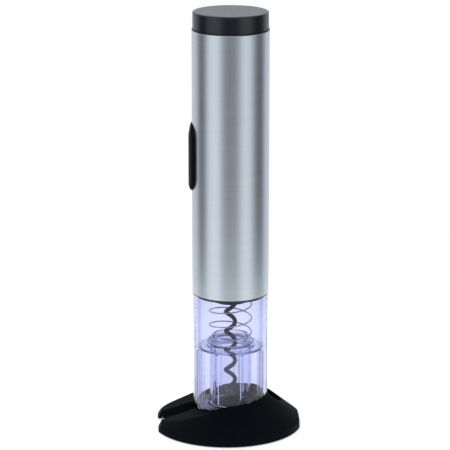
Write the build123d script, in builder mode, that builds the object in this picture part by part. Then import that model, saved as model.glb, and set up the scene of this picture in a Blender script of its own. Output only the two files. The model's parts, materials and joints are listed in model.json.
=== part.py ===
from build123d import *
import os
from math import acos, cos, pi, radians, sin, tan

# An electric wine opener standing upright in its foil cutter. Millimetres, +Z up.
# The origin is on the floor, on the opener's long axis. The slot of the foil cutter and
# the rocker button face -X, and the smooth side of the opener faces -Y.

os.makedirs("parts", exist_ok=True)

# ---- Driving sizes: steel sleeve and seat ----
sleeve_radius = 25.0
sleeve_wall = 0.6
sleeve_length = 173.7
sleeve_bottom = 91.8  # height of the lower edge above the floor
seat_height = 13.1  # height of the ledge that the opener stands on

# ---- Clearances ----
running = 0.05  # radial, for shafts, pins and bores that turn or slide
seat_gap = 0.02  # between pieces that are fixed to each other
loose_gap = 0.3  # between pieces that pass each other

# ---- Clear housing ----
housing_shell_radius = 24.6  # below the steel sleeve
housing_wall = 2.2  # inside the steel sleeve
housing_overlap = 12.6  # length hidden inside the steel sleeve
neck_bore = 15.5  # radius of the hole that the bottle neck enters
web = 1.8  # thickness of the end wall round that hole
rib_thickness = 1.2
stop_ribs = 8
stop_rib_turn = -27.0
rail_depth = 2.6
ear_half_width = 3.5
stop_rib_inner = 19.5  # radius of the inner edges of the stop ribs
stop_gap = 0.2
housing_screw_angles = (90, 210, 330)
housing_screw_height = 98.0

# ---- Cork sleeve ----
cork_bore = 12.25
skirt_wall = 1.25
flange_height = 53.6  # height of its underside above the floor
flange_thickness = 1.6
shoulder_height = 1.4
crown_height = 5.0
crown_radius = 12.5
crown_bore = 10.6
skirt_ribs = 5
skirt_rib_turn = -67.0
skirt_bottom = 15.3
shoulder_radius = 16.2

# ---- Worm, hub and spring ----
worm_wire = 1.4  # radius of the wire
worm_radius = 3.05  # radius of the coil's centre line
worm_pitch = 13.35
worm_tip = 17.42
grind_angle = 35.0  # of the bevel ground on the point
worm_edge = 1.2  # from the wire's centre line to the sharp edge
hub_radius = 11.25
hub_bottom = 85.1
hub_height = 6.0
hub_socket_depth = 3.2
hub_screw_radius = 0.9
spring_wire = 0.35
spring_radius = 14.3
spring_pitch = 9.6
spring_bottom_angle = 100.0

# ---- Gearbox ----
gear_module = 0.7
sun_teeth = 12
planet_teeth = 18
pressure_angle = radians(20)
tooth_thinning = 0.12  # taken off every tooth, measured along the pitch circle
gear_width = 6.0
planets = 3
planet_pin = 1.5
carrier_thickness = 2.4
output_shaft = 4.0
bush_wall = 2.0
gearbox_base_height = 4.0
motor_plate_height = 2.5

# ---- Motor ----
motor_radius = 13.85
motor_can_wall = 0.8
motor_can_length = 32.5
end_bell_length = 5.5
motor_shaft_radius = 1.15
motor_bush_radius = 3.2
armature_radius = 10.7
armature_length = 17.0
armature_slots = 5
slot_circle = 6.63
slot_radius = 2.6
slot_mouth = 1.2
commutator_radius = 3.6
motor_rib = 138.0  # height of the rib that steadies the motor
motor_screw_circle = 8.0
lead_radius = 0.7
lead_bend = 1.8

# ---- Batteries ----
cell_radius = 7.25
cell_length = 50.5
cell_nub = 1.0
cell_spacing = 15.5
tray_floor = 2.0
tray_wall = 0.9
contact_room = 3.0

# ---- Chassis ----
chassis_wall = 1.6
floor_thickness = 2.0
seat_floor_height = 89.5  # underside of the floor that the spring presses on
screw_radius = 1.0
screw_head = 1.9
boss_radius = 2.6
chassis_screw_reach = 8.0
right_screw_heights = (125.0, 160.0, 195.0)
left_screw_heights = (125.0, 150.0)

# ---- Rocker and switches ----
rocker_height = 182.8  # centre, above the floor
rocker_length = 44.6
rocker_width = 18.4
rocker_proud = 2.3
rocker_wall = 1.5
rocker_gap = 0.55
rocker_pin_depth = 7.6  # pin centre, inside the sleeve's outer face
rocker_pin_radius = 1.0
switch_offset = 13.0  # of each switch from the pin, along Z
switch_size = 6.0
switch_depth = 3.3
plunger_radius = 1.6
plunger_proud = 1.0
board_thickness = 1.6
board_half_width = 9.3
board_half_length = 18.0
bracket_thickness = 1.6
cheek_inner = 9.6
cheek_outer = 11.0
post_radius = 1.6
lug_plate = (6.0, 8.4)  # of the rocker's pin lugs, from the middle plane
top_taper = 9.0
bottom_taper = 3.5
lead_half_spacing = 4.0
motor_lead_x = 7.5

# ---- Top ring and cap ----
flange_ring = 0.6
ring_height = 8.0
ring_bore = 21.0
bayonet_lugs = 3
lug_width = 5.8
lug_height = 2.0
lug_depth = 1.8
cap_twist = 45.0
cap_height = 11.2
cap_inset = 0.5
cap_wall = 2.0
plug_wall = 1.5

# ---- Foil cutter and stand ----
stand_radius = 49.4
stand_centre = -2.2
stand_left = -48.3
slot_run = 10.0  # length of the slot's cutter past the outline
stand_right = 45.5
stand_corner = 6.0
skirt_height = 4.5
dome_centre = -1.2
dome_radius = 48.0  # of the sloping top, at the skirt's height
dome_top_radius = 18.0
dome_slope = 1.51  # radius lost per millimetre of height
dome_lean = 0.3  # centre shift per millimetre of height
ramp_height = 4.8
ramp_angle = 18.0
end_foot = 1.0  # height where the left end starts to lean in
end_lean = 2.3
seat_radius = 24.9
cutter_bore = 16.0
slot_half_width = 8.0
notch_half_width = 6.0
notch_end = 34.0
foot_proud = 0.5
foot_radius = 4.0
foot_thickness = 1.0
cover_thickness = 1.8
wheel_radius = 5.5
wheel_thickness = 1.0
wheel_height = 5.7  # centre of the wheels above the floor
wheel_reach = 2.0  # how far the wheels stand into the bore
wheel_angles = (50, 130, 230, 310)
wheel_bevel = 1.5
wheel_room = 0.8  # radial room round each wheel
wheel_boss = 2.2
pocket_height = 3.3  # room above the middle of a wheel
axle_radius = 1.0
axle_bottom = 1.1
axle_top = 10.4
cover_inset = 3.0
head_height = 1.2
cover_screw_top = 6.0
cover_screw_angles = (40, 100, 160, 200, 260, 320)
cover_screw_circle = 36.0
screw_boss = 3.2
foot_angles = (55, 130, 230, 305)
foot_circle = 38.0
hollow_left = -20.0  # the hollows end here, to the right of the ramp
hollow_side = 9.0  # solid width kept on each side of the notch
hollow_top = 10.5

# ---- Heights and radii that follow ----
sleeve_top = sleeve_bottom + sleeve_length
sleeve_inner = sleeve_radius - sleeve_wall
housing_radius = sleeve_inner - loose_gap
housing_inner = housing_radius - housing_wall
housing_top = sleeve_bottom + housing_overlap
chassis_radius = sleeve_inner - 0.15
chassis_inner = chassis_radius - chassis_wall
neck_radius = housing_inner - 0.2
neck_inner = neck_radius - chassis_wall
chassis_shoulder = housing_top + 0.2
chassis_top = sleeve_top - ring_height
gearbox_floor = seat_floor_height + floor_thickness

ring_teeth = sun_teeth + 2 * planet_teeth
centre_distance = gear_module * (sun_teeth + planet_teeth) / 2
gearbox_radius = neck_inner - 0.3
carrier_radius = gear_module * ring_teeth / 2 - 1.4
carrier2_bottom = gearbox_floor + gearbox_base_height + 0.5
stage2_bottom = carrier2_bottom + carrier_thickness + 0.4
carrier1_bottom = stage2_bottom + gear_width + 0.5
stage1_bottom = carrier1_bottom + carrier_thickness + 0.3
ring_gear_top = stage1_bottom + gear_width + 2.0
motor_bottom = ring_gear_top + motor_plate_height
motor_top = motor_bottom + motor_can_length + end_bell_length

hub_top = hub_bottom + hub_height
hub_socket_top = hub_bottom + hub_socket_depth
shoulder_top = flange_height + flange_thickness + shoulder_height
crown_top = shoulder_top + crown_height
rail_top = seat_floor_height - loose_gap
flange_radius = housing_inner - 1.4

rocker_outer = sleeve_radius + rocker_proud
rocker_inner = sleeve_inner - 1.5
rocker_pin_x = -(sleeve_radius - rocker_pin_depth)
switch_face = rocker_pin_x - 0.7 + 0.1 + plunger_proud
post_tip = switch_face - plunger_proud - 0.1
plunger_depth = 2.0
board_face = switch_face + switch_depth
bracket_face = board_face + board_thickness

cell_ledge = rocker_height + rocker_length / 2 + 1.4
tray_bottom = cell_ledge + 0.1
cell_bottom = tray_bottom + tray_floor + contact_room
cell_top = cell_bottom + cell_length
ring_outer = sleeve_top + flange_ring
plug_radius = ring_bore - loose_gap
lug_radius = plug_radius + lug_depth
lug_bottom = chassis_top + 2.8

body_bottom = foot_proud
cover_top = body_bottom + cover_thickness
wheel_centre = cutter_bore - wheel_reach + wheel_radius
pocket_top = wheel_height + pocket_height
dome_top = skirt_height + (dome_radius - dome_top_radius) / dome_slope
hollows = ((29.0, 42.0, cover_top, 6.5), (29.0, 35.0, 6.5, hollow_top))
hub_screw_height = hub_socket_top + 1.5
contact_top = cell_top + 0.8
disc_top = contact_top + 2.0
gasket_bottom = lug_bottom + 3.3
chassis_screw_x = chassis_inner - boss_radius - 1.5
chassis_screw_places = [(chassis_screw_x, z) for z in right_screw_heights]
chassis_screw_places += [(-chassis_screw_x, z) for z in left_screw_heights]


# ---- Helpers that add to or cut from the piece being made ----
def ring(outer, inner, bottom, top, mode=Mode.ADD):
    """A tube about the main axis, or a disc where inner is 0."""
    with BuildSketch(Plane.XY.offset(bottom)) as outline:
        Circle(outer)
        if inner > 0:
            Circle(inner, mode=Mode.SUBTRACT)
    extrude(outline.sketch, amount=top - bottom, mode=mode)


def pegs(radius, bottom, top, places, mode=Mode.ADD):
    """Upright round pegs, or holes, at a list of places."""
    with BuildSketch(Plane.XY.offset(bottom)) as outline:
        with Locations(*places):
            Circle(radius)
    extrude(outline.sketch, amount=top - bottom, mode=mode)


def block(x_from, x_to, y_from, y_to, z_from, z_to, mode=Mode.ADD):
    """A box given by its limits."""
    size = (x_to - x_from, y_to - y_from, z_to - z_from)
    with Locations(((x_from + x_to) / 2, (y_from + y_to) / 2, (z_from + z_to) / 2)):
        Box(*size, mode=mode)


def rod_y(radius, x, z, y_from, y_to, mode=Mode.ADD):
    """A round rod along Y."""
    with BuildSketch(Plane.XZ.offset(-y_from)) as outline:
        with Locations((x, z)):
            Circle(radius)
    extrude(outline.sketch, amount=-(y_to - y_from), mode=mode)


def rod_x(radius, y, z, x_from, x_to, mode=Mode.ADD):
    """A round rod along X."""
    with BuildSketch(Plane.YZ.offset(x_from)) as outline:
        with Locations((y, z)):
            Circle(radius)
    extrude(outline.sketch, amount=x_to - x_from, mode=mode)


def around(radius, count, turn=0.0):
    """Places spread evenly round the main axis."""
    angles = [radians(turn + 360.0 * k / count) for k in range(count)]
    return [(radius * cos(a), radius * sin(a)) for a in angles]


def at_angles(radius, angles):
    """Places at chosen angles round the main axis."""
    return [(radius * cos(radians(a)), radius * sin(radians(a))) for a in angles]


wheel_places = at_angles(wheel_centre, wheel_angles)
cover_screw_places = at_angles(cover_screw_circle, cover_screw_angles)
hollow_screws = [place for place in cover_screw_places if place[0] > hollow_left]
foot_places = at_angles(foot_circle, foot_angles)
motor_screw_places = around(motor_screw_circle, 2, 90)
lead_x = board_face + board_thickness / 2
motor_lead_places = [(motor_lead_x, lead_half_spacing), (motor_lead_x, -lead_half_spacing)]
battery_lead_places = [(lead_x, lead_half_spacing), (lead_x, -lead_half_spacing)]


def save(piece, name):
    """Labels a finished piece and writes it."""
    piece.part.label = name
    export_step(piece.part, f"parts/{name}.step")


# ---- Gears ----
def involute(angle):
    """The involute function."""
    return tan(angle) - angle


def half_tooth(teeth, radius, thinning):
    """Half the angle that a tooth fills at a radius."""
    pitch_radius = gear_module * teeth / 2
    base_radius = pitch_radius * cos(pressure_angle)
    here = acos(min(1.0, base_radius / radius))
    full = pi / (2 * teeth) - thinning / (2 * pitch_radius)
    return full + involute(pressure_angle) - involute(here)


def polar(radius, angle, centre=(0.0, 0.0)):
    """A point by radius and angle."""
    return (centre[0] + radius * cos(angle), centre[1] + radius * sin(angle))


def gear_face(teeth, addendum, dedendum, thinning, turn=0.0, centre=(0.0, 0.0)):
    """Involute teeth as a face; turn is the angle of the first tooth's middle."""
    pitch_radius = gear_module * teeth / 2
    base_radius = pitch_radius * cos(pressure_angle)
    tip = pitch_radius + addendum * gear_module
    root = pitch_radius - dedendum * gear_module
    start = max(root, base_radius)
    flank = [start + (tip - start) * k / 3 for k in range(4)]
    with BuildSketch() as outline:
        with BuildLine():
            for tooth in range(teeth):
                middle = turn + 2 * pi * tooth / teeth
                right = [polar(r, middle - half_tooth(teeth, r, thinning), centre) for r in flank]
                left = [polar(r, middle + half_tooth(teeth, r, thinning), centre) for r in flank]
                foot_angle = half_tooth(teeth, start, thinning)
                if root < start:
                    Line(polar(root, middle - foot_angle, centre), right[0])
                Spline(*right)
                ThreePointArc(right[-1], polar(tip, middle, centre), left[-1])
                Spline(*reversed(left))
                if root < start:
                    Line(left[0], polar(root, middle + foot_angle, centre))
                valley = middle + pi / teeth
                next_foot = middle + 2 * pi / teeth - foot_angle
                ThreePointArc(
                    polar(root, middle + foot_angle, centre),
                    polar(root, valley, centre),
                    polar(root, next_foot, centre),
                )
        make_face()
    return outline.sketch


def gear(teeth, addendum, dedendum, bottom, top, turn=0.0, centre=(0.0, 0.0)):
    """Adds an external gear to the piece being made."""
    face = gear_face(teeth, addendum, dedendum, tooth_thinning, turn, centre)
    extrude(face.moved(Location((0, 0, bottom))), amount=top - bottom, dir=(0, 0, 1))


# ---- Foil cutter: body ----
def stand_outline(inset=0.0):
    """Truncated circle of the stand seen from above, with rounded corners."""
    with BuildSketch() as outline:
        with Locations((stand_centre, 0)):
            Circle(stand_radius - inset)
        with Locations(((stand_left + stand_right) / 2, 0)):
            width = stand_right - stand_left - 2 * inset
            Rectangle(width, 2 * stand_radius, mode=Mode.INTERSECT)
        fillet(outline.vertices(), stand_corner)
    return outline.sketch


def mouth_outline():
    """Round bore with the open slot on the left and the relief notch on the right."""
    slot_length = slot_run - stand_left
    with BuildSketch() as outline:
        Circle(cutter_bore)
        with Locations((-slot_length / 2, 0)):
            Rectangle(slot_length, 2 * slot_half_width)
        with Locations((notch_end / 2, 0)):
            SlotOverall(notch_end, 2 * notch_half_width)
    return outline.sketch


with BuildPart() as stand_dome:
    with BuildSketch(Plane.XY.offset(body_bottom)):
        with Locations((stand_centre, 0)):
            Circle(stand_radius)
    with BuildSketch(Plane.XY.offset(skirt_height)):
        with Locations((dome_centre, 0)):
            Circle(dome_radius)
    loft()
    with BuildSketch(Plane.XY.offset(skirt_height)):
        with Locations((dome_centre, 0)):
            Circle(dome_radius)
    with BuildSketch(Plane.XY.offset(dome_top)):
        with Locations((dome_centre + dome_lean * (dome_top - skirt_height), 0)):
            Circle(dome_top_radius)
    loft()

with BuildPart() as stand_body:
    with BuildSketch(Plane.XY.offset(body_bottom)):
        add(stand_outline())
    extrude(amount=dome_top - body_bottom)
    add(stand_dome.part, mode=Mode.INTERSECT)
    with BuildSketch(Plane.XZ):
        with BuildLine():
            Polyline(
                (stand_left, end_foot),
                (stand_left + end_lean, ramp_height + end_lean * tan(radians(ramp_angle))),
                (0, ramp_height - stand_left * tan(radians(ramp_angle))),
                (0, 2 * dome_top),
                (stand_left, 2 * dome_top),
                close=True,
            )
        make_face()
    extrude(amount=stand_radius, both=True, mode=Mode.SUBTRACT)
    ring(seat_radius, 0, seat_height, dome_top, Mode.SUBTRACT)
    with BuildSketch(Plane.XY.offset(body_bottom)):
        add(mouth_outline())
    extrude(amount=dome_top, mode=Mode.SUBTRACT)
    with BuildSketch(Plane.XY.offset(body_bottom)):
        add(stand_outline(cover_inset))
    extrude(amount=cover_thickness, mode=Mode.SUBTRACT)
    pegs(wheel_radius + wheel_room, cover_top, pocket_top, wheel_places, Mode.SUBTRACT)
    pegs(wheel_boss, wheel_height + wheel_thickness, pocket_top, wheel_places)
    for inner, outer, bottom, top in hollows:
        with BuildSketch(Plane.XY.offset(bottom)):
            Circle(outer)
            Circle(inner, mode=Mode.SUBTRACT)
            with Locations((-stand_radius, 0)):
                Rectangle(2 * (stand_radius + hollow_left), 2 * stand_radius, mode=Mode.SUBTRACT)
            with Locations((stand_radius / 2, 0)):
                Rectangle(stand_radius, 2 * hollow_side, mode=Mode.SUBTRACT)
        extrude(amount=top - bottom, mode=Mode.SUBTRACT)
    pegs(screw_boss, cover_top, hollow_top, hollow_screws)
    pegs(axle_radius + seat_gap, cover_top, axle_top + seat_gap, wheel_places, Mode.SUBTRACT)
    pegs(screw_radius + seat_gap, cover_top, cover_screw_top + seat_gap, cover_screw_places, Mode.SUBTRACT)
save(stand_body, "stand_body")

# ---- Foil cutter: cover, axles, wheels, screws and feet ----
with BuildPart() as cutter_cover:
    with BuildSketch(Plane.XY.offset(body_bottom)):
        add(stand_outline(cover_inset + loose_gap / 2))
        add(mouth_outline(), mode=Mode.SUBTRACT)
    extrude(amount=cover_thickness)
    pegs(wheel_boss, cover_top, wheel_height - wheel_thickness, wheel_places)
    pegs(axle_radius + seat_gap, axle_bottom - seat_gap, wheel_height, wheel_places, Mode.SUBTRACT)
    pegs(foot_radius + seat_gap, body_bottom, foot_thickness, foot_places, Mode.SUBTRACT)
    pegs(screw_radius + seat_gap, body_bottom, cover_top, cover_screw_places, Mode.SUBTRACT)
    pegs(screw_head + seat_gap, body_bottom, body_bottom + head_height, cover_screw_places, Mode.SUBTRACT)
save(cutter_cover, "cutter_cover")

with BuildPart() as cutter_axles:
    pegs(axle_radius, axle_bottom, axle_top, wheel_places)
save(cutter_axles, "cutter_axles")

for number, (wheel_x, wheel_y) in enumerate(wheel_places, start=1):
    with BuildPart() as cutter_wheel:
        with BuildSketch(Plane.XZ.offset(-wheel_y)):
            with BuildLine():
                Polyline(
                    (wheel_x + axle_radius + running, wheel_height - wheel_thickness / 2),
                    (wheel_x + wheel_radius - wheel_bevel, wheel_height - wheel_thickness / 2),
                    (wheel_x + wheel_radius, wheel_height),
                    (wheel_x + wheel_radius - wheel_bevel, wheel_height + wheel_thickness / 2),
                    (wheel_x + axle_radius + running, wheel_height + wheel_thickness / 2),
                    close=True,
                )
            make_face()
        revolve(axis=Axis((wheel_x, wheel_y, 0), (0, 0, 1)))
    save(cutter_wheel, f"cutter_wheel_{number}")

with BuildPart() as cover_screws:
    pegs(screw_head, body_bottom + head_height / 2, body_bottom + head_height, cover_screw_places)
    pegs(screw_radius, body_bottom + head_height, cover_screw_top, cover_screw_places)
save(cover_screws, "cover_screws")

with BuildPart() as rubber_feet:
    pegs(foot_radius, 0, foot_thickness, foot_places)
    fillet(rubber_feet.edges().group_by(Axis.Z)[0], foot_proud / 2)
save(rubber_feet, "rubber_feet")

# ---- Clear housing: tube, end wall with the hole for the bottle neck, stop ribs and rails ----
with BuildPart() as clear_housing:
    ring(housing_radius, housing_inner, seat_height, housing_top)
    ring(housing_shell_radius, housing_inner, seat_height, sleeve_bottom - flange_ring - seat_gap)
    ring(housing_inner, neck_bore, seat_height, seat_height + web)
    rib_length = housing_inner - stop_rib_inner + housing_wall / 2
    with BuildSketch(Plane.XY.offset(seat_height)):
        with PolarLocations(stop_rib_inner + rib_length / 2, stop_ribs, stop_rib_turn):
            Rectangle(rib_length, rib_thickness)
    extrude(amount=flange_height - stop_gap - seat_height)
    rail_length = rail_depth + housing_wall / 2
    rail_x = housing_inner - rail_depth + rail_length / 2
    rail_y = ear_half_width + loose_gap + rib_thickness / 2
    with BuildSketch(Plane.XY.offset(seat_height)):
        with GridLocations(2 * rail_x, 2 * rail_y, 2, 2):
            Rectangle(rail_length, rib_thickness)
    extrude(amount=rail_top - seat_height)
    for angle in housing_screw_angles:
        outward = Plane(origin=(0, 0, housing_screw_height), z_dir=polar(1, radians(angle)) + (0,))
        with BuildSketch(outward.offset(housing_inner - 1)) as hole:
            Circle(screw_radius + seat_gap)
        extrude(hole.sketch, amount=housing_wall + 2, mode=Mode.SUBTRACT)
        with BuildSketch(outward.offset(housing_radius - head_height)) as head:
            Circle(screw_head + seat_gap)
        extrude(head.sketch, amount=head_height + 1, mode=Mode.SUBTRACT)
save(clear_housing, "clear_housing")

with BuildPart() as housing_screws:
    for angle in housing_screw_angles:
        outward = Plane(origin=(0, 0, housing_screw_height), z_dir=polar(1, radians(angle)) + (0,))
        with BuildSketch(outward.offset(neck_inner + 0.1)) as shank:
            Circle(screw_radius)
        extrude(shank.sketch, amount=housing_radius - head_height - neck_inner - 0.1)
        with BuildSketch(outward.offset(housing_radius - head_height)) as head:
            Circle(screw_head)
        extrude(head.sketch, amount=head_height - 0.1)
save(housing_screws, "housing_screws")

# ---- Cork sleeve ----
with BuildPart() as cork_sleeve:
    skirt_radius = cork_bore + skirt_wall
    with BuildSketch(Plane.XZ):
        with BuildLine():
            Polyline(
                (cork_bore, skirt_bottom),
                (skirt_radius, skirt_bottom),
                (skirt_radius, flange_height),
                (flange_radius, flange_height),
                (flange_radius, flange_height + flange_thickness),
                (shoulder_radius, flange_height + flange_thickness),
                (shoulder_radius, shoulder_top),
                (spring_radius - spring_wire - loose_gap, shoulder_top),
                (crown_radius, crown_top),
                (crown_bore, crown_top),
                (crown_bore, crown_top - crown_height / 3),
                (cork_bore, shoulder_top),
                close=True,
            )
        make_face()
    revolve(axis=Axis.Z)
    notch_y = ear_half_width + loose_gap + rib_thickness / 2
    with BuildSketch(Plane.XY.offset(flange_height)):
        with GridLocations(2 * housing_inner, 2 * notch_y, 2, 2):
            Rectangle(2 * (rail_depth + loose_gap), rib_thickness + 2 * loose_gap)
    extrude(amount=flange_thickness, mode=Mode.SUBTRACT)
    ear_end = housing_inner - loose_gap
    with BuildSketch(Plane.XY.offset(flange_height)):
        with Locations((flange_radius - 1, 0), (1 - flange_radius, 0)):
            Rectangle(2 * (ear_end - flange_radius + 1), 2 * ear_half_width)
    extrude(amount=flange_thickness)
    with BuildSketch(Plane.XY.offset(skirt_bottom)):
        with PolarLocations(skirt_radius + 0.4, skirt_ribs, skirt_rib_turn):
            Rectangle(1.6, rib_thickness)
    extrude(amount=flange_height - skirt_bottom)
save(cork_sleeve, "cork_sleeve")

# ---- Return spring of the cork sleeve ----
spring_low = shoulder_top + spring_wire + seat_gap
spring_high = seat_floor_height - spring_wire - seat_gap
with BuildPart() as spring_coil:
    with BuildLine(Plane((0, 0, spring_low))) as spring_path:
        Helix(spring_pitch, spring_high - spring_low, spring_radius)
    with BuildSketch(Plane(spring_path.line @ 0, z_dir=spring_path.line % 0)):
        Circle(spring_wire)
    sweep(path=spring_path.line, is_frenet=True)
    with Locations((0, 0, spring_low), (0, 0, spring_high)):
        Torus(spring_radius, spring_wire)

with BuildPart() as sleeve_spring:
    add(spring_coil.part, rotation=(0, 0, spring_bottom_angle))
save(sleeve_spring, "sleeve_spring")

# ---- Worm and its hub ----
with BuildPart() as worm:
    worm_end = hub_socket_top - 1.2
    with BuildLine(Plane((0, 0, worm_tip))) as coil:
        Helix(worm_pitch, worm_end - worm_tip, worm_radius)
    with BuildSketch(Plane(coil.line @ 0, z_dir=coil.line % 0)):
        Circle(worm_wire)
    sweep(path=coil.line, is_frenet=True)
    ground_face = Plane(origin=coil.line @ 0, x_dir=coil.line % 0, z_dir=(1, 0, 0))
    with Locations(Location(ground_face) * Pos(0, 0, -worm_edge) * Rot(0, -grind_angle, 0)):
        Box(12, 6, 6, align=(Align.CENTER, Align.CENTER, Align.MIN), mode=Mode.SUBTRACT)
save(worm, "worm")

with BuildPart() as worm_hub:
    ring(hub_radius, 0, hub_bottom, hub_top)
    fillet(worm_hub.edges().group_by(Axis.Z)[0], 1.0)
    ring(worm_radius + worm_wire + 0.1, 0, hub_bottom, hub_socket_top, Mode.SUBTRACT)
    ring(output_shaft + seat_gap, 0, hub_socket_top, hub_top, Mode.SUBTRACT)
    rod_x(hub_screw_radius + seat_gap, 0, hub_screw_height, output_shaft, hub_radius, Mode.SUBTRACT)
save(worm_hub, "worm_hub")

with BuildPart() as hub_screw:
    rod_x(hub_screw_radius, 0, hub_screw_height, output_shaft + seat_gap, hub_radius - 0.3)
save(hub_screw, "hub_screw")

# ---- Steel sleeve and its trim ring ----
def rocker_window(grow):
    """Oblong outline of the rocker, seen from -X."""
    with BuildSketch(Plane.YZ.offset(-2 * sleeve_radius)) as outline:
        with Locations((0, rocker_height)):
            SlotOverall(rocker_length + 2 * grow, rocker_width + 2 * grow, rotation=90)
    return outline.sketch


with BuildPart() as steel_sleeve:
    ring(sleeve_radius, sleeve_inner, sleeve_bottom, sleeve_top)
    extrude(rocker_window(rocker_gap), amount=2 * sleeve_radius, mode=Mode.SUBTRACT)
    top_edges = steel_sleeve.edges().filter_by(GeomType.CIRCLE).group_by(Axis.Z)[-1]
    fillet(top_edges.sort_by(SortBy.RADIUS)[-1], 0.4)
save(steel_sleeve, "steel_sleeve")

with BuildPart() as sleeve_trim_ring:
    ring(sleeve_radius - 0.1, housing_radius + 0.05, sleeve_bottom - flange_ring, sleeve_bottom)
save(sleeve_trim_ring, "sleeve_trim_ring")


# ---- Chassis halves ----
def chassis_shell():
    """The whole chassis, before it is split down the middle."""
    for boss_x, boss_z in chassis_screw_places:
        rod_y(boss_radius, boss_x, boss_z, -chassis_inner, chassis_inner)
    ring(chassis_radius - chassis_wall / 2, 0, chassis_shoulder, chassis_top, Mode.INTERSECT)
    ring(chassis_radius, chassis_inner, chassis_shoulder, chassis_top)
    ring(chassis_radius, neck_inner, chassis_shoulder, chassis_shoulder + floor_thickness)
    ring(neck_radius, neck_inner, seat_floor_height, chassis_shoulder)
    ring(neck_radius, hub_radius + 1.0, seat_floor_height, gearbox_floor)
    ring(chassis_inner + 0.2, gearbox_radius + 0.1, ring_gear_top - 2.5, ring_gear_top - 0.5)
    ring(chassis_inner + 0.2, motor_radius + 0.1, motor_rib, motor_rib + floor_thickness)
    ring(chassis_inner + 0.2, chassis_inner - 2.8, cell_ledge - floor_thickness, cell_ledge)
    window_half = rocker_width / 2 + 0.8
    window_low = rocker_height - rocker_length / 2 - 1.0
    block(-sleeve_radius, -19.0, -window_half, window_half, window_low, cell_ledge - 0.3, Mode.SUBTRACT)
    for boss_x, boss_z in chassis_screw_places:
        rod_y(screw_head + 0.2, boss_x, boss_z, -sleeve_radius, -chassis_screw_reach, Mode.SUBTRACT)
        rod_y(screw_radius + seat_gap, boss_x, boss_z, -sleeve_radius, chassis_screw_reach, Mode.SUBTRACT)
    for angle in housing_screw_angles:
        outward = Plane(origin=(0, 0, housing_screw_height), z_dir=polar(1, radians(angle)) + (0,))
        with BuildSketch(outward.offset(neck_inner - 1)) as hole:
            Circle(screw_radius + seat_gap)
        extrude(hole.sketch, amount=chassis_wall + 2, mode=Mode.SUBTRACT)


with BuildPart() as chassis_front:
    chassis_shell()
    split(bisect_by=Plane.XZ, keep=Keep.TOP)
save(chassis_front, "chassis_front")

with BuildPart() as chassis_back:
    chassis_shell()
    split(bisect_by=Plane.XZ, keep=Keep.BOTTOM)
save(chassis_back, "chassis_back")

with BuildPart() as chassis_screws:
    for boss_x, boss_z in chassis_screw_places:
        rod_y(screw_head, boss_x, boss_z, -chassis_screw_reach - head_height, -chassis_screw_reach)
        rod_y(screw_radius, boss_x, boss_z, -chassis_screw_reach, chassis_screw_reach - 0.5)
save(chassis_screws, "chassis_screws")

# ---- Gearbox ----
with BuildPart() as gearbox_base:
    base_top = gearbox_floor + gearbox_base_height
    ring(gearbox_radius, output_shaft + running + bush_wall, gearbox_floor, base_top)
save(gearbox_base, "gearbox_base")

with BuildPart() as output_bush:
    bush_inner = output_shaft + running
    ring(bush_inner + bush_wall, bush_inner, gearbox_floor, base_top)
save(output_bush, "output_bush")

with BuildPart() as ring_gear:
    ring(gearbox_radius, 0, base_top, ring_gear_top)
    space = gear_face(ring_teeth, 1.1, 0.8, -tooth_thinning, pi / ring_teeth)
    space = space.moved(Location((0, 0, base_top)))
    extrude(space, amount=ring_gear_top - base_top, dir=(0, 0, 1), mode=Mode.SUBTRACT)
save(ring_gear, "ring_gear")


def planet_gears(stage, bottom):
    """The planets of one stage, each in mesh with the sun and the ring gear."""
    for number, (x, y) in enumerate(around(centre_distance, planets), start=1):
        turn = pi / planet_teeth + 2 * pi * (number - 1) / planets
        with BuildPart() as planet:
            gear(planet_teeth, 0.8, 1.25, bottom, bottom + gear_width, turn, (x, y))
            pegs(planet_pin + running, bottom, bottom + gear_width, [(x, y)], Mode.SUBTRACT)
        save(planet, f"stage{stage}_planet_{number}")


planet_gears(1, stage1_bottom)
planet_gears(2, stage2_bottom)
pin_places = around(centre_distance, planets)

with BuildPart() as stage1_carrier:
    carrier1_top = carrier1_bottom + carrier_thickness
    ring(carrier_radius, 0, carrier1_bottom, carrier1_top)
    pegs(planet_pin, carrier1_top, stage1_bottom + gear_width + 0.4, pin_places)
    gear(sun_teeth, 1.0, 1.25, stage2_bottom, carrier1_bottom)
    ring(planet_pin + running, 0, stage2_bottom, stage2_bottom + 3.2, Mode.SUBTRACT)
    ring(motor_shaft_radius + running, 0, carrier1_top - 1.8, carrier1_top, Mode.SUBTRACT)
save(stage1_carrier, "stage1_carrier")

with BuildPart() as stage2_carrier:
    carrier2_top = carrier2_bottom + carrier_thickness
    ring(carrier_radius, 0, carrier2_bottom, carrier2_top)
    pegs(planet_pin, carrier2_top, stage2_bottom + gear_width + 0.3, pin_places)
    ring(planet_pin, 0, carrier2_top, stage2_bottom + 2.8)
    ring(output_shaft, 0, hub_socket_top + 0.1, carrier2_bottom)
save(stage2_carrier, "stage2_carrier")

with BuildPart() as motor_plate:
    ring(gearbox_radius, gear_module * sun_teeth / 2 + 1.4, ring_gear_top, motor_bottom)
    head_top = ring_gear_top + head_height
    pegs(screw_head + seat_gap, ring_gear_top, head_top, motor_screw_places, Mode.SUBTRACT)
    pegs(screw_radius + seat_gap, ring_gear_top, motor_bottom, motor_screw_places, Mode.SUBTRACT)
save(motor_plate, "motor_plate")

with BuildPart() as motor_screws:
    pegs(screw_head, ring_gear_top + 0.1, ring_gear_top + head_height, motor_screw_places)
    pegs(screw_radius, ring_gear_top + head_height, motor_bottom + 2.0, motor_screw_places)
save(motor_screws, "motor_screws")

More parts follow.
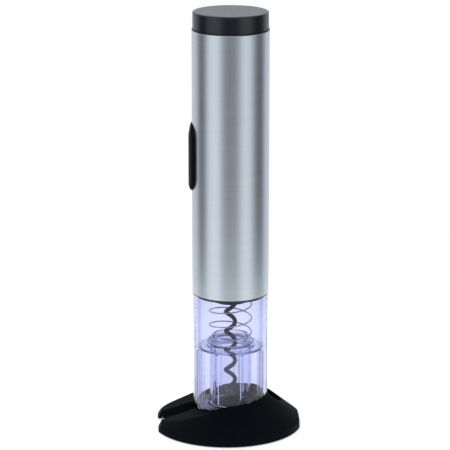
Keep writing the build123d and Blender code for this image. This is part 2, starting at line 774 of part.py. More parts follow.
# ---- Motor ----
can_top = motor_bottom + motor_can_length
with BuildPart() as motor_can:
    ring(motor_radius, 0, motor_bottom, can_top)
    ring(motor_radius - motor_can_wall, 0, motor_bottom + 1.2, can_top, Mode.SUBTRACT)
    ring(motor_bush_radius + seat_gap, 0, motor_bottom, can_top, Mode.SUBTRACT)
    pegs(screw_radius + seat_gap, motor_bottom, can_top, motor_screw_places, Mode.SUBTRACT)
    fillet(motor_can.edges().filter_by(GeomType.CIRCLE).group_by(Axis.Z)[0].sort_by(SortBy.RADIUS)[-1], 0.8)
save(motor_can, "motor_can")

armature_bottom = motor_bottom + 7.0
armature_top = armature_bottom + armature_length
with BuildPart() as motor_magnets:
    magnet_outer = motor_radius - motor_can_wall - seat_gap
    ring(magnet_outer, armature_radius + 0.4, armature_bottom - 1.5, armature_top + 1.5)
    block(-3, 3, -motor_radius, motor_radius, armature_bottom - 2, armature_top + 2, Mode.SUBTRACT)
save(motor_magnets, "motor_magnets")

with BuildPart() as motor_end_bell:
    ring(motor_radius, 0, can_top, motor_top)
    ring(motor_radius - 1.5, 0, can_top, motor_top - 1.5, Mode.SUBTRACT)
    ring(motor_bush_radius + 1.2, 0, motor_top - 3.5, motor_top)
    ring(motor_bush_radius, 0, can_top, motor_top, Mode.SUBTRACT)
    pegs(lead_radius + seat_gap, can_top, motor_top, motor_lead_places, Mode.SUBTRACT)
save(motor_end_bell, "motor_end_bell")

with BuildPart() as motor_bushes:
    ring(motor_bush_radius, motor_shaft_radius + running, motor_bottom, motor_bottom + 3.0)
    ring(motor_bush_radius, motor_shaft_radius + running, motor_top - 3.5, motor_top - 0.5)
save(motor_bushes, "motor_bushes")

with BuildPart() as motor_shaft:
    ring(motor_shaft_radius, 0, carrier1_top - 1.6, motor_top + 1.0)
save(motor_shaft, "motor_shaft")

with BuildPart() as motor_pinion:
    gear(sun_teeth, 1.0, 1.25, stage1_bottom, ring_gear_top + 0.5)
    ring(motor_shaft_radius, 0, stage1_bottom, ring_gear_top + 0.5, Mode.SUBTRACT)
save(motor_pinion, "motor_pinion")

with BuildPart() as armature:
    ring(armature_radius, 0, armature_bottom, armature_top)
    slot_places = around(slot_circle, armature_slots, 36)
    pegs(slot_radius, armature_bottom, armature_top, slot_places, Mode.SUBTRACT)
    with BuildSketch(Plane.XY.offset(armature_bottom)):
        with PolarLocations(armature_radius - 1.6, armature_slots, 36):
            Rectangle(armature_radius / 2, slot_mouth)
    extrude(amount=armature_length, mode=Mode.SUBTRACT)
    ring(motor_shaft_radius, 0, armature_bottom, armature_top, Mode.SUBTRACT)
save(armature, "armature")

with BuildPart() as commutator:
    ring(commutator_radius, motor_shaft_radius, armature_top + 0.5, armature_top + 5.5)
save(commutator, "commutator")

# ---- Batteries ----
cell_half = cell_spacing / 2
cell_places = around(cell_spacing / 2**0.5, 4, 45)
with BuildPart() as battery_tray:
    tray_top = chassis_top - 0.2
    tray_radius = chassis_inner - 0.25
    ring(tray_radius, 0, tray_bottom, tray_bottom + tray_floor)
    with BuildSketch(Plane.XY.offset(tray_bottom)):
        Circle(tray_radius)
        Circle(tray_radius - rib_thickness, mode=Mode.SUBTRACT)
        with Locations(*cell_places):
            Circle(cell_radius + 0.2 + tray_wall)
        with PolarLocations(tray_radius - 2.5, 4, 45):
            Rectangle(4.0, 1.6)
    extrude(amount=tray_top - tray_bottom)
    pegs(cell_radius + 0.2, tray_bottom + tray_floor, tray_top, cell_places, Mode.SUBTRACT)
    pegs(lead_radius + 0.2, tray_bottom, tray_top, battery_lead_places, Mode.SUBTRACT)
save(battery_tray, "battery_tray")

for number, place in enumerate(cell_places, start=1):
    with BuildPart() as battery_cell:
        if number % 2:
            pegs(cell_radius, cell_bottom, cell_top - cell_nub, [place])
            pegs(cell_radius * 0.38, cell_top - cell_nub, cell_top, [place])
        else:
            pegs(cell_radius, cell_bottom + cell_nub, cell_top, [place])
            pegs(cell_radius * 0.38, cell_bottom, cell_bottom + cell_nub, [place])
    save(battery_cell, f"battery_cell_{number}")

with BuildPart() as battery_contacts:
    contact_floor = tray_bottom + tray_floor
    pegs(4.5, contact_floor, contact_floor + 0.4, cell_places)
    pegs(3.0, contact_floor + 0.4, cell_bottom - 0.05, cell_places[1::2])
    for x, y in cell_places[0::2]:
        with BuildLine(Plane((x, y, contact_floor + 0.6))) as contact_path:
            Helix(0.9, cell_bottom - contact_floor - 1.0, 3.2)
        with BuildSketch(Plane(contact_path.line @ 0, z_dir=contact_path.line % 0)):
            Circle(0.3)
        sweep(path=contact_path.line, is_frenet=True)
    with BuildSketch(Plane.XY.offset(cell_top + running)):
        with Locations((0, cell_half), (0, -cell_half)):
            SlotOverall(cell_spacing + 7.0, 7.0)
    extrude(amount=contact_top - cell_top - running)
save(battery_contacts, "battery_contacts")

# ---- Top ring with its bayonet grooves ----
lug_turns = [360.0 * k / bayonet_lugs for k in range(bayonet_lugs)]
groove_middle = (ring_bore + lug_radius + 0.4) / 2
groove_depth = lug_radius + 0.5 - ring_bore + 0.2
with BuildPart() as top_ring:
    ring(chassis_radius, ring_bore, chassis_top, sleeve_top)
    ring(sleeve_radius, ring_bore, sleeve_top, ring_outer)
    for lug_turn in lug_turns:
        with BuildSketch(Plane.XY.offset(lug_bottom - loose_gap)):
            groove = CenterArc((0, 0), groove_middle, lug_turn - 5, cap_twist + 10, mode=Mode.PRIVATE)
            SlotArc(groove, groove_depth)
            with PolarLocations(groove_middle - 0.5, 1, lug_turn):
                Rectangle(groove_depth + 1, lug_width + 2 * loose_gap)
        extrude(amount=lug_height + 2 * loose_gap, mode=Mode.SUBTRACT)
        with BuildSketch(Plane.XY.offset(lug_bottom - loose_gap)):
            with PolarLocations(groove_middle - 0.5, 1, lug_turn + cap_twist):
                Rectangle(groove_depth + 1, lug_width + 2 * loose_gap)
        extrude(amount=ring_outer - lug_bottom + loose_gap, mode=Mode.SUBTRACT)
save(top_ring, "top_ring")

# ---- Battery cap ----
cap_bottom = ring_outer + 0.2
cap_top = ring_outer + cap_height
cap_radius = sleeve_radius - cap_inset
with BuildPart() as battery_cap:
    ring(cap_radius, 0, cap_bottom, cap_top)
    fillet(battery_cap.edges().group_by(Axis.Z)[-1], 1.0)
    ring(cap_radius - cap_wall, 0, cap_bottom + 1.6, cap_top - cap_wall, Mode.SUBTRACT)
    ring(plug_radius, 0, lug_bottom, cap_bottom)
    ring(plug_radius - plug_wall, 0, lug_bottom, cap_bottom + 1.6, Mode.SUBTRACT)
    with BuildSketch(Plane.XY.offset(lug_bottom)):
        with PolarLocations(plug_radius + lug_depth / 2 - 0.2, bayonet_lugs):
            Rectangle(lug_depth + 0.4, lug_width)
    extrude(amount=lug_height)
    ring(plug_radius + 0.1, plug_radius - 0.5, gasket_bottom, gasket_bottom + 1.0, Mode.SUBTRACT)
    ring(4.0, 0, disc_top + 0.2, cap_top - cap_wall)
save(battery_cap, "battery_cap")

with BuildPart() as cap_gasket:
    ring(ring_bore - running, plug_radius - 0.5, gasket_bottom + 0.1, gasket_bottom + 0.9)
save(cap_gasket, "cap_gasket")

with BuildPart() as cap_contact_disc:
    ring(plug_radius - plug_wall - loose_gap, 0, contact_top, disc_top)
save(cap_contact_disc, "cap_contact_disc")

# ---- Rocker, pin, bracket, board and switches ----
rocker_low = rocker_height - rocker_length / 2
rocker_high = rocker_height + rocker_length / 2
with BuildPart() as rocker_core:
    with BuildSketch(Plane.YZ.offset(-2 * sleeve_radius)):
        with Locations((0, rocker_height)):
            SlotOverall(rocker_length - 2 * rocker_wall, rocker_width - 2 * rocker_wall, rotation=90)
    extrude(amount=2 * sleeve_radius)
    ring(sleeve_radius + 0.4, 0, rocker_low, rocker_high, Mode.INTERSECT)

with BuildPart() as rocker_button:
    extrude(rocker_window(0), amount=2 * sleeve_radius)
    ring(rocker_outer, rocker_inner, rocker_low, rocker_high, Mode.INTERSECT)
    with BuildSketch(Plane.XZ):
        with BuildLine():
            Polyline(
                (-rocker_outer, rocker_high - top_taper),
                (-sleeve_radius - 0.3, rocker_high),
                (-rocker_outer - 1, rocker_high),
                (-rocker_outer - 1, rocker_high - top_taper),
                close=True,
            )
        make_face()
        with BuildLine():
            Polyline(
                (-rocker_outer, rocker_low + bottom_taper),
                (-sleeve_radius - 0.6, rocker_low),
                (-rocker_outer - 1, rocker_low),
                (-rocker_outer - 1, rocker_low + bottom_taper),
                close=True,
            )
        make_face()
    extrude(amount=rocker_width, both=True, mode=Mode.SUBTRACT)
    add(rocker_core.part, mode=Mode.SUBTRACT)
    for side in (-1, 1):
        inner_face, outer_face = lug_plate
        y_low, y_high = sorted((side * inner_face, side * outer_face))
        block(-sleeve_radius, rocker_pin_x + 2.0, y_low, y_high, rocker_height - 2.5, rocker_height + 2.5)
    pin_hole = rocker_pin_radius + running
    rod_y(pin_hole, rocker_pin_x, rocker_height, -rocker_width, rocker_width, Mode.SUBTRACT)
    for end in (-1, 1):
        post_height = rocker_height + end * switch_offset
        rod_x(post_radius, 0, post_height, -sleeve_radius - 1.0, post_tip - post_radius)
        with Locations((post_tip - post_radius, 0, post_height)):
            Sphere(post_radius)
save(rocker_button, "rocker_button")

with BuildPart() as rocker_pin:
    rod_y(rocker_pin_radius, rocker_pin_x, rocker_height, -cheek_outer + 0.1, cheek_outer - 0.1)
save(rocker_pin, "rocker_pin")

with BuildPart() as switch_bracket:
    low = rocker_height - board_half_length - 1.0
    high = rocker_height + board_half_length + 1.0
    bracket_half = (chassis_inner**2 - bracket_face**2) ** 0.5 - 0.5
    block(bracket_face, bracket_face + bracket_thickness, -bracket_half, bracket_half, low, high)
    for side in (-1, 1):
        y_low, y_high = sorted((side * cheek_inner, side * cheek_outer))
        block(rocker_pin_x - 2.0, bracket_face, y_low, y_high, rocker_height - 5.0, rocker_height + 5.0)
    pin_seat = rocker_pin_radius + seat_gap
    rod_y(pin_seat, rocker_pin_x, rocker_height, -rocker_width, rocker_width, Mode.SUBTRACT)
save(switch_bracket, "switch_bracket")

with BuildPart() as circuit_board:
    board_low = rocker_height - board_half_length
    board_high = rocker_height + board_half_length
    block(board_face, bracket_face, -board_half_width, board_half_width, board_low, board_high)
save(circuit_board, "circuit_board")

with BuildPart() as switch_bodies:
    half = switch_size / 2
    for end in (-1, 1):
        middle = rocker_height + end * switch_offset
        block(switch_face, board_face, -half, half, middle - half, middle + half)
        bore_end = switch_face + plunger_depth + 0.8
        rod_x(plunger_radius + running, 0, middle, switch_face, bore_end, Mode.SUBTRACT)
save(switch_bodies, "switch_bodies")

for name, end in (("upper_plunger", 1), ("lower_plunger", -1)):
    with BuildPart() as plunger:
        middle = rocker_height + end * switch_offset
        rod_x(plunger_radius, 0, middle, switch_face - plunger_proud, switch_face + plunger_depth)
    save(plunger, name)

# ---- Wire leads ----
with BuildPart() as wire_leads:
    lead_start = motor_top - 2.5
    lead_turn = motor_top + 4.5
    for x, y in motor_lead_places:
        with BuildLine() as lead_path:
            corners = [(x, y, lead_start), (x, y, lead_turn), (lead_x, y, lead_turn), (lead_x, y, board_low)]
            FilletPolyline(*corners, radius=lead_bend)
        with BuildSketch(Plane((x, y, lead_start))):
            Circle(lead_radius)
        sweep(path=lead_path.line)
    pegs(lead_radius, board_high, contact_floor, battery_lead_places)
save(wire_leads, "wire_leads")
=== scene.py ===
"""An electric wine opener standing upright in its black foil cutter."""

import json
import math

import bmesh
import bpy
from mathutils import Matrix, Vector


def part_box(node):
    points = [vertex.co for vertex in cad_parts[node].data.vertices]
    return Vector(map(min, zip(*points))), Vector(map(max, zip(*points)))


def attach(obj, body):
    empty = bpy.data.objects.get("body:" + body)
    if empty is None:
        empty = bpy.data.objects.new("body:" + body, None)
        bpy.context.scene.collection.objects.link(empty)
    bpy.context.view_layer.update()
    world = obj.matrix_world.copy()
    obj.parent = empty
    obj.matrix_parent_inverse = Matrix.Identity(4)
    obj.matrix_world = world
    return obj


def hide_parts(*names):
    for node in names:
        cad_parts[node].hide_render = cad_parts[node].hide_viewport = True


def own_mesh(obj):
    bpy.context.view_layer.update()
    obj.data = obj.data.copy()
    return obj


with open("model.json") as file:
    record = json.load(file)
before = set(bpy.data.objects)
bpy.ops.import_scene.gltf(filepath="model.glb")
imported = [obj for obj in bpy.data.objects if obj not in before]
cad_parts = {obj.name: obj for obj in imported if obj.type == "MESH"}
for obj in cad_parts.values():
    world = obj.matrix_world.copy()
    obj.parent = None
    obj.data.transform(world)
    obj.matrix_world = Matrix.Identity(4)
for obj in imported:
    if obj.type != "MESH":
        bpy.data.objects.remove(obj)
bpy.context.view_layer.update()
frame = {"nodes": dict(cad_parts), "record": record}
nodes = frame["nodes"]

# ---- Camera ----
VIEW_TURN = math.radians(-2.5)  # the slot's end of the stand comes a little nearer
VIEW_TILT = math.radians(75.16)
CAMERA_PLACE = Vector((-0.0036, -1.3963, 0.5063))

camera_data = bpy.data.cameras.new("camera")
camera_data.lens = 177.0
camera_data.sensor_width = 36.0
camera_data.clip_start = 0.05
camera_data.clip_end = 20.0
camera = bpy.data.objects.new("camera", camera_data)
camera.location = Matrix.Rotation(VIEW_TURN, 3, "Z") @ CAMERA_PLACE
camera.rotation_euler = (VIEW_TILT, 0, VIEW_TURN)
bpy.context.collection.objects.link(camera)
bpy.context.scene.camera = camera
bpy.context.scene.view_settings.view_transform = "Standard"


# ---- Shader building ----
class Value:
    """One output of a shader node, which Python's operators can work on."""

    def __init__(self, finish, socket):
        self.finish = finish
        self.socket = socket

    def __getitem__(self, name):
        return Value(self.finish, self.socket.node.outputs[name])

    def maths(self, operation, *others):
        inputs = dict(enumerate((self, *others)))
        return self.finish.node("ShaderNodeMath", {"operation": operation}, inputs)

    def __add__(self, other):
        return self.maths("ADD", other)

    def __sub__(self, other):
        return self.maths("SUBTRACT", other)

    def __rsub__(self, other):
        return self.maths("MULTIPLY_ADD", -1.0, other)

    def __mul__(self, other):
        return self.maths("MULTIPLY", other)

    def __truediv__(self, other):
        return self.maths("DIVIDE", other)

    def __pow__(self, other):
        return self.maths("POWER", other)

    __radd__ = __add__
    __rmul__ = __mul__

    def between(self, low, high):
        """0 below low, 1 above high, smooth in between."""
        settings = {"interpolation_type": "SMOOTHSTEP"}
        inputs = {"Value": self, "From Min": low, "From Max": high}
        return self.finish.node("ShaderNodeMapRange", settings, inputs)


class Finish:
    """The node tree of one material, or of the world."""

    def __init__(self, owner):
        self.owner = owner
        owner.use_nodes = True
        self.tree = owner.node_tree
        self.tree.nodes.clear()

    def node(self, kind, settings=None, inputs=None):
        """Adds a node: its settings first, then the values or links of its sockets."""
        made = self.tree.nodes.new(kind)
        for name, setting in (settings or {}).items():
            if name == "stops":
                stops = made.color_ramp.elements
                while len(stops) < len(setting):
                    stops.new(1.0)
                for stop, (place, colour) in zip(stops, setting):
                    stop.position = place
                    stop.color = (*colour, 1.0)
            else:
                setattr(made, name, setting)
        for name, given in (inputs or {}).items():
            if isinstance(given, Value):
                self.tree.links.new(given.socket, made.inputs[name])
            else:
                made.inputs[name].default_value = given
        shown = [output for output in made.outputs if output.enabled]
        return Value(self, shown[0]) if shown else None

    def place(self, stretch=(1, 1, 1)):
        """Where the surface is, in metres, stretched along each axis."""
        where = self.node("ShaderNodeTexCoord")["Object"]
        return self.node("ShaderNodeVectorMath", {"operation": "MULTIPLY"}, {0: where, 1: stretch})

    def noise(self, scale, detail=2.0, stretch=(1, 1, 1), roughness=0.5):
        """Soft random variation from 0 to 1; scale is in cycles per metre."""
        inputs = {"Vector": self.place(stretch), "Scale": scale, "Detail": detail, "Roughness": roughness}
        return self.node("ShaderNodeTexNoise", {}, inputs)

    def blend(self, share, low, high):
        """Mixes two colours, or a colour and a link."""
        inputs = {"Factor": share, 6: as_input(low), 7: as_input(high)}
        return self.node("ShaderNodeMix", {"data_type": "RGBA"}, inputs)

    def bump(self, height, distance, strength=1.0, over=None):
        """Small relief, on top of another normal where one is given."""
        inputs = {"Height": height, "Distance": distance, "Strength": strength}
        if over:
            inputs["Normal"] = over
        return self.node("ShaderNodeBump", {}, inputs)

    def surface(self, volume=None, **inputs):
        """Ends the material in one principled shader, over a coloured inside where one is given."""
        named = {name.replace("_", " "): as_input(given) for name, given in inputs.items()}
        ends = {"Surface": self.node("ShaderNodeBsdfPrincipled", {}, named)}
        if volume:
            ends["Volume"] = volume
        self.node("ShaderNodeOutputMaterial", {}, ends)
        return self.owner


def as_input(given):
    """A colour of three numbers gets its fourth."""
    if isinstance(given, tuple) and len(given) == 3:
        return (*given, 1.0)
    return given


def new_finish(name):
    """A new empty material."""
    return Finish(bpy.data.materials.new(name))


# ---- World and floor ----
COOL = (0.945, 1.0, 1.065)
OVERHEAD = 1.05


def cool(level):
    """A slightly blue light of one level."""
    return tuple(level * part for part in COOL)


def make_studio():
    """Soft studio light: white behind and above, two tall soft boxes, a dim front and darker sides."""
    world = Finish(bpy.data.worlds.new("studio"))
    bpy.context.scene.world = world.owner
    towards = world.node("ShaderNodeTexCoord")["Generated"]
    parts = world.node("ShaderNodeSeparateXYZ", {}, {"Vector": towards})
    x, y, z = parts["X"], parts["Y"], parts["Z"]
    turn = x.maths("ARCTAN2", y * -1.0) / (2 * math.pi) + 0.5
    stops = [(0.5 + angle / 360.0, cool(level)) for angle, level in ROUND_LIGHT]
    round_light = world.node("ShaderNodeValToRGB", {"stops": stops}, {"Fac": turn})
    overhead = z.between(0.25, 0.8)
    lit = world.blend(overhead, round_light, cool(OVERHEAD))
    shown = world.node("ShaderNodeLightPath")["Is Camera Ray"]
    colour = world.blend(shown, lit, (1.0, 1.0, 1.0))
    background = world.node("ShaderNodeBackground", {}, {"Color": colour, "Strength": 1.0})
    world.node("ShaderNodeOutputWorld", {}, {"Surface": background})


ROUND_LIGHT = (
    (-180, 0.85),
    (-124, 0.85),
    (-106, 0.10),
    (-86, 0.10),
    (-72, 1.00),
    (-40, 1.10),
    (-22, 0.24),
    (18, 0.26),
    (32, 1.00),
    (56, 1.02),
    (78, 0.12),
    (104, 0.10),
    (124, 0.85),
    (180, 0.85),
)
FLOOR_REACH = 0.42
FLOOR_FADE = 0.20


def make_floor():
    """A pale floor that fades into the backdrop."""
    mesh = bpy.data.meshes.new("floor")
    shape = bmesh.new()
    bmesh.ops.create_circle(shape, cap_ends=True, radius=FLOOR_REACH, segments=96)
    shape.to_mesh(mesh)
    shape.free()
    floor = bpy.data.objects.new("floor", mesh)
    floor.location.z = -0.0001
    bpy.context.collection.objects.link(floor)
    finish = new_finish("floor")
    parts = finish.node("ShaderNodeSeparateXYZ", {}, {"Vector": finish.place()})
    reach = (parts["X"] ** 2.0 + parts["Y"] ** 2.0) ** 0.5
    alpha = 1.0 - reach.between(FLOOR_FADE, FLOOR_REACH)
    grain = finish.noise(900.0)
    mesh.materials.append(
        finish.surface(
            Base_Color=finish.blend(grain, (0.86, 0.86, 0.86), (0.90, 0.90, 0.90)),
            Roughness=0.9,
            Specular_IOR_Level=0.1,
            Emission_Color=(1.0, 1.0, 1.0),
            Emission_Strength=0.42,
            Alpha=alpha,
        )
    )


# ---- Finishes ----
def moulded(name, colour, light, roughness=0.42, grain=2600.0, depth=0.00002, gloss=0.35, soft=0.0004):
    """Moulded plastic with a fine spark-eroded grain, faint shade variation, softened edges and a painted
    highlight that lightens convex edges.
    """
    finish = new_finish(name)
    eased = finish.node("ShaderNodeBevel", {"samples": 4}, {"Radius": soft})
    fine = finish.noise(grain, 3.0)
    broad = finish.noise(60.0, 2.0)
    # Painted highlight: a mask of convex edges, by pointiness, that lightens the base colour where light
    # would catch the edges.
    edge_highlight = finish.node("ShaderNodeNewGeometry")["Pointiness"].between(0.52, 0.60)
    shade = finish.blend(broad * 0.6 + fine * 0.4, colour, light)
    return finish.surface(
        # The painted edge highlight: convex edges blend towards a much lighter colour.
        Base_Color=finish.blend(edge_highlight * 0.3, shade, tuple(1.6 * c + 0.002 for c in light)),
        Roughness=roughness + fine * 0.10 + broad * 0.06 - edge_highlight * 0.08,
        Normal=finish.bump(fine, depth, 0.5, eased),
        Specular_IOR_Level=gloss,
    )


def metal(name, colour, roughness=0.25, streak=(1, 1, 1), grain=1500.0, depth=0.00001):
    """Bare metal with fine scratches along one direction."""
    finish = new_finish(name)
    fine = finish.noise(grain, 4.0, streak)
    broad = finish.noise(90.0, 2.0)
    darker = tuple(0.82 * c for c in colour)
    return finish.surface(
        Base_Color=finish.blend(fine * 0.6 + broad * 0.4, darker, colour),
        Metallic=1.0,
        Roughness=roughness * 0.8 + fine * roughness * 0.4 + broad * 0.05,
        Normal=finish.bump(fine, depth, 0.4),
    )


def brushed_sleeve():
    """Stainless steel brushed round the tube in fine level lines."""
    finish = new_finish("brushed_steel")
    lines = finish.noise(1.0, 5.0, (60.0, 60.0, 5200.0), 0.65)
    bands = finish.noise(1.0, 3.0, (22.0, 22.0, 900.0))
    cloud = finish.noise(26.0, 2.0)
    shade = lines * 0.55 + bands * 0.30 + cloud * 0.15
    return finish.surface(
        Base_Color=finish.blend(shade, (0.50, 0.54, 0.575), (0.70, 0.74, 0.78)),
        Metallic=1.0,
        Roughness=0.24 + lines * 0.12 + bands * 0.06,
        Normal=finish.bump(lines * 0.8 + bands * 0.2, 0.000012, 0.6),
    )


FLOW_RELIEF = 0.00002  # of the flow marks in clear plastic
CLEAR_TINT = (0.54, 0.575, 0.84, 1.0)
CLEAR_DENSITY = 160.0


def clear_moulding(name):
    """Clear moulded plastic whose long ways through turn blue."""
    finish = new_finish(name)
    flow = finish.noise(70.0, 2.0, (1, 1, 0.4))
    fine = finish.noise(500.0, 2.0)
    inside = {"Color": CLEAR_TINT, "Density": CLEAR_DENSITY}
    return finish.surface(
        volume=finish.node("ShaderNodeVolumeAbsorption", {}, inside),
        Base_Color=finish.blend(flow, (0.97, 0.97, 0.995), (0.985, 0.985, 1.0)),
        Roughness=0.012 + flow * 0.02,
        IOR=1.40,
        Specular_IOR_Level=0.3,
        Transmission_Weight=1.0,
        Normal=finish.bump(flow * 0.8 + fine * 0.2, FLOW_RELIEF, 0.15),
    )


def cell_wrap():
    """Plain printed film on a battery cell."""
    finish = new_finish("cell_wrap")
    fine = finish.noise(1200.0, 2.0)
    broad = finish.noise(60.0, 2.0)
    return finish.surface(
        Base_Color=finish.blend(broad, (0.05, 0.10, 0.07), (0.09, 0.17, 0.12)),
        Roughness=0.30 + fine * 0.12,
        Metallic=0.4,
        Coat_Weight=0.3,
        Normal=finish.bump(fine, 0.00001, 0.3),
    )


def non_stick():
    """Dark blue-grey non-stick coating, sprayed on."""
    finish = new_finish("non_stick_coat")
    fine = finish.noise(2200.0, 3.0)
    broad = finish.noise(160.0, 2.0)
    return finish.surface(
        Base_Color=finish.blend(broad, (0.016, 0.019, 0.034), (0.034, 0.040, 0.068)),
        Metallic=0.2,
        Roughness=0.34 + fine * 0.16,
        Normal=finish.bump(fine, 0.00003, 0.5),
    )


def circuit_lacquer():
    """Green solder mask with faint tracks."""
    finish = new_finish("solder_mask")
    tracks = finish.node(
        "ShaderNodeTexBrick",
        {"offset": 0.3},
        {"Vector": finish.place(), "Scale": 400.0, "Mortar Size": 0.08},
    )["Fac"]
    fine = finish.noise(900.0)
    return finish.surface(
        Base_Color=finish.blend(tracks, (0.010, 0.075, 0.030), (0.025, 0.13, 0.055)),
        Roughness=0.28 + fine * 0.10,
        Normal=finish.bump(tracks, 0.00003, 0.5),
    )


FINISHES = {
    "stand_plastic": moulded(
        "stand_black", (0.0012, 0.0021, 0.0032), (0.0024, 0.0036, 0.0054), 0.54, gloss=0.03, soft=0.0007
    ),
    "cap_plastic": moulded(
        "cap_black", (0.0022, 0.0040, 0.0070), (0.0045, 0.0068, 0.0105), 0.20, gloss=0.5, soft=0.0
    ),
    "rocker_plastic": moulded(
        "rocker_black", (0.0030, 0.0042, 0.0056), (0.0052, 0.0068, 0.0086), 0.50, gloss=0.03, soft=0.0008
    ),
    "trim": moulded("trim_black", (0.004, 0.005, 0.008), (0.008, 0.010, 0.014), 0.35, gloss=0.3),
    "hub_plastic": moulded("hub_black", (0.004, 0.004, 0.006), (0.008, 0.008, 0.012), 0.40, gloss=0.25),
    "chassis_plastic": moulded("chassis_grey", (0.025, 0.025, 0.028), (0.05, 0.05, 0.055), 0.5),
    "gear_plastic": moulded("gear_white", (0.62, 0.61, 0.56), (0.78, 0.77, 0.72), 0.4),
    "switch_plastic": moulded("switch_black", (0.010, 0.010, 0.010), (0.022, 0.022, 0.022), 0.45),
    "plunger_plastic": moulded("plunger_red", (0.28, 0.03, 0.02), (0.42, 0.06, 0.04), 0.4),
    "rubber": moulded("rubber", (0.014, 0.014, 0.014), (0.030, 0.030, 0.030), 0.8, 1800.0, 0.00005),
    "lead_insulation": moulded("lead_red", (0.26, 0.015, 0.015), (0.36, 0.03, 0.03), 0.55),
    "steel": brushed_sleeve(),
    "gear_steel": metal("machined_steel", (0.56, 0.56, 0.58), 0.22, (1, 1, 3)),
    "cutter_steel": metal("ground_steel", (0.66, 0.66, 0.68), 0.18, (1, 1, 6)),
    "screw_steel": metal("zinc_plate", (0.62, 0.62, 0.63), 0.28),
    "spring_steel": metal("spring_wire", (0.62, 0.65, 0.66), 0.40),
    "motor_steel": metal("nickel_can", (0.52, 0.52, 0.52), 0.22, (1, 1, 4)),
    "bronze": metal("bronze", (0.52, 0.33, 0.16), 0.38),
    "copper": metal("copper", (0.66, 0.34, 0.21), 0.25, (1, 1, 5)),
    "contact_metal": metal("nickel_contact", (0.66, 0.65, 0.61), 0.22),
    "armature_steel": metal("lacquered_laminations", (0.20, 0.19, 0.18), 0.4, (1, 1, 8)),
    "magnet": moulded("ferrite", (0.020, 0.020, 0.021), (0.035, 0.035, 0.036), 0.55),
    "cell_wrap": cell_wrap(),
    "board": circuit_lacquer(),
    "worm_coat": non_stick(),
    "clear_plastic": clear_moulding("clear_plastic"),
}


def dress(obj, finish):
    """Gives an object one finish in all its material slots."""
    if not obj.data.materials:
        obj.data.materials.append(finish)
    for place in obj.material_slots:
        place.material = finish


for entry in frame["record"]["subparts"]:
    dress(nodes[entry["node"]], FINISHES[entry["material_slot"]])


# ---- Wire pieces ----
def wire(name, path, sides=12):
    """A round wire through (point, radius) pairs, closed at both ends."""
    shape = bmesh.new()
    loops = []
    for number, (point, radius) in enumerate(path):
        ahead = path[min(number + 1, len(path) - 1)][0]
        behind = path[max(number - 1, 0)][0]
        along = (ahead - behind).normalized()
        out = Vector((point.x, point.y, 0)).normalized()
        out = (out - along * out.dot(along)).normalized()
        up = along.cross(out)
        turns = [2 * math.pi * k / sides for k in range(sides)]
        rim = [point + radius * (math.cos(t) * out + math.sin(t) * up) for t in turns]
        loops.append([shape.verts.new(place) for place in rim])
    for first, second in zip(loops, loops[1:]):
        for k in range(sides):
            after = (k + 1) % sides
            shape.faces.new((first[k], first[after], second[after], second[k]))
    shape.faces.new(reversed(loops[0]))
    shape.faces.new(loops[-1])
    bmesh.ops.recalc_face_normals(shape, faces=shape.faces)
    mesh = bpy.data.meshes.new(name)
    shape.to_mesh(mesh)
    shape.free()
    mesh.shade_smooth()
    piece = bpy.data.objects.new(name, mesh)
    bpy.context.collection.objects.link(piece)
    return piece


def ring_point(radius, degrees, z):
    """A point by radius and angle round the main axis."""
    angle = math.radians(degrees)
    return Vector((radius * math.cos(angle), radius * math.sin(angle), z))


SOFT_CORNER = 0.0003


def soft_limit(value, limit, side):
    """The larger of two for side 1, the smaller for side -1, rounded where they cross."""
    gap = value - limit
    return (value + limit + side * math.sqrt(gap * gap + SOFT_CORNER**2)) / 2


def smooth_step(value, low, high):
    """0 below low, 1 above high, smooth in between."""
    share = min(1.0, max(0.0, (value - low) / (high - low)))
    return share * share * (3 - 2 * share)


# ---- Return spring: closed coils at both ends, the lowest a little wider ----
SPRING_WIRE = 0.00042
SPRING_PITCH = 0.0096
SPRING_START = 100.0  # where the open coils begin, in degrees
SPRING_RADIUS = 0.0139
CLOSED_RADIUS = (0.0150, 0.0143)
CLOSED_PITCH = 2.3 * SPRING_WIRE
TURN_STEP = 10.0
FOOT_TURN = 420.0  # how far the closed coils run past the open ones, in degrees
HEAD_TURN = 370.0
spring_low, spring_high = (corner.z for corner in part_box("sleeve_spring"))


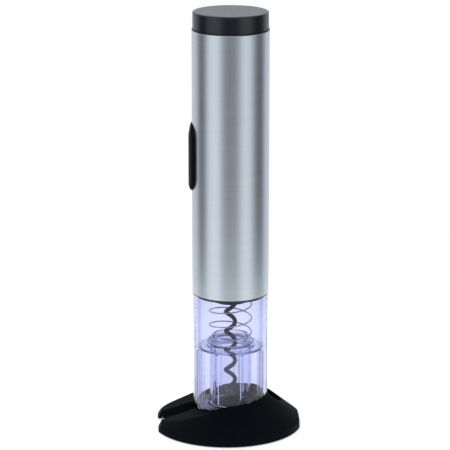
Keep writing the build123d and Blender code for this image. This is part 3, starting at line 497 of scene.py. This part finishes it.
def make_spring():
    """Closed coils, open coils and closed coils again, as one wire."""
    foot = spring_low + SPRING_WIRE
    head = spring_high - SPRING_WIRE
    open_turn = 360.0 * (head - foot) / SPRING_PITCH
    path = []
    first_step = -int(FOOT_TURN / TURN_STEP)
    last_step = int(open_turn / TURN_STEP) + int(HEAD_TURN / TURN_STEP)
    for step in range(first_step, last_step + 1):
        turn = step * TURN_STEP
        climb = foot + SPRING_PITCH * turn / 360
        low_coil = foot + CLOSED_PITCH * (turn + FOOT_TURN) / 360
        high_coil = head - CLOSED_PITCH * (open_turn + HEAD_TURN - turn) / 360
        z = soft_limit(soft_limit(climb, low_coil, 1), high_coil, -1)
        wide = 1 - smooth_step(turn, -30, 150)
        radius = SPRING_RADIUS + (CLOSED_RADIUS[0] - SPRING_RADIUS) * wide
        radius += (CLOSED_RADIUS[1] - SPRING_RADIUS) * smooth_step(turn, open_turn - 120, open_turn)
        path.append((ring_point(radius, SPRING_START + turn, z), SPRING_WIRE))
    spring = wire("return_spring", path, 10)
    dress(spring, FINISHES["spring_steel"])
    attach(spring, "opener")
    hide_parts("sleeve_spring")
    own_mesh(spring)


# ---- Worm: a round wire with a drawn-out point ----
WORM_WIRE = 0.0014
WORM_RADIUS = 0.00305
WORM_PITCH = 0.01335
WORM_TIP = 0.01742
WORM_END = 0.0871
POINT_TURNS = 0.55
POINT_SIZE = 0.14  # of the wire's radius, at the very tip
STEPS_A_TURN = 40


def make_worm():
    """The open coil, drawn out to a point that keeps to the coil's outside."""
    turns = (WORM_END - WORM_TIP) / WORM_PITCH
    steps = int(turns * STEPS_A_TURN)
    outer = WORM_RADIUS + WORM_WIRE - 0.0001
    path = []
    for step in range(steps + 1):
        done = turns * step / steps
        share = min(1.0, done / POINT_TURNS)
        radius = WORM_WIRE * (POINT_SIZE + (1 - POINT_SIZE) * math.sin(share * math.pi / 2))
        reach = outer - radius if share < 1 else WORM_RADIUS
        reach += (WORM_RADIUS - reach) * smooth_step(share, 0.2, 1.0)
        path.append((ring_point(reach, 360.0 * done, WORM_TIP + WORM_PITCH * done), radius))
    worm = wire("corkscrew_worm", path, 18)
    dress(worm, FINISHES["worm_coat"])
    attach(worm, "worm_drive")
    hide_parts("worm")


make_spring()
make_worm()
make_studio()
make_floor()
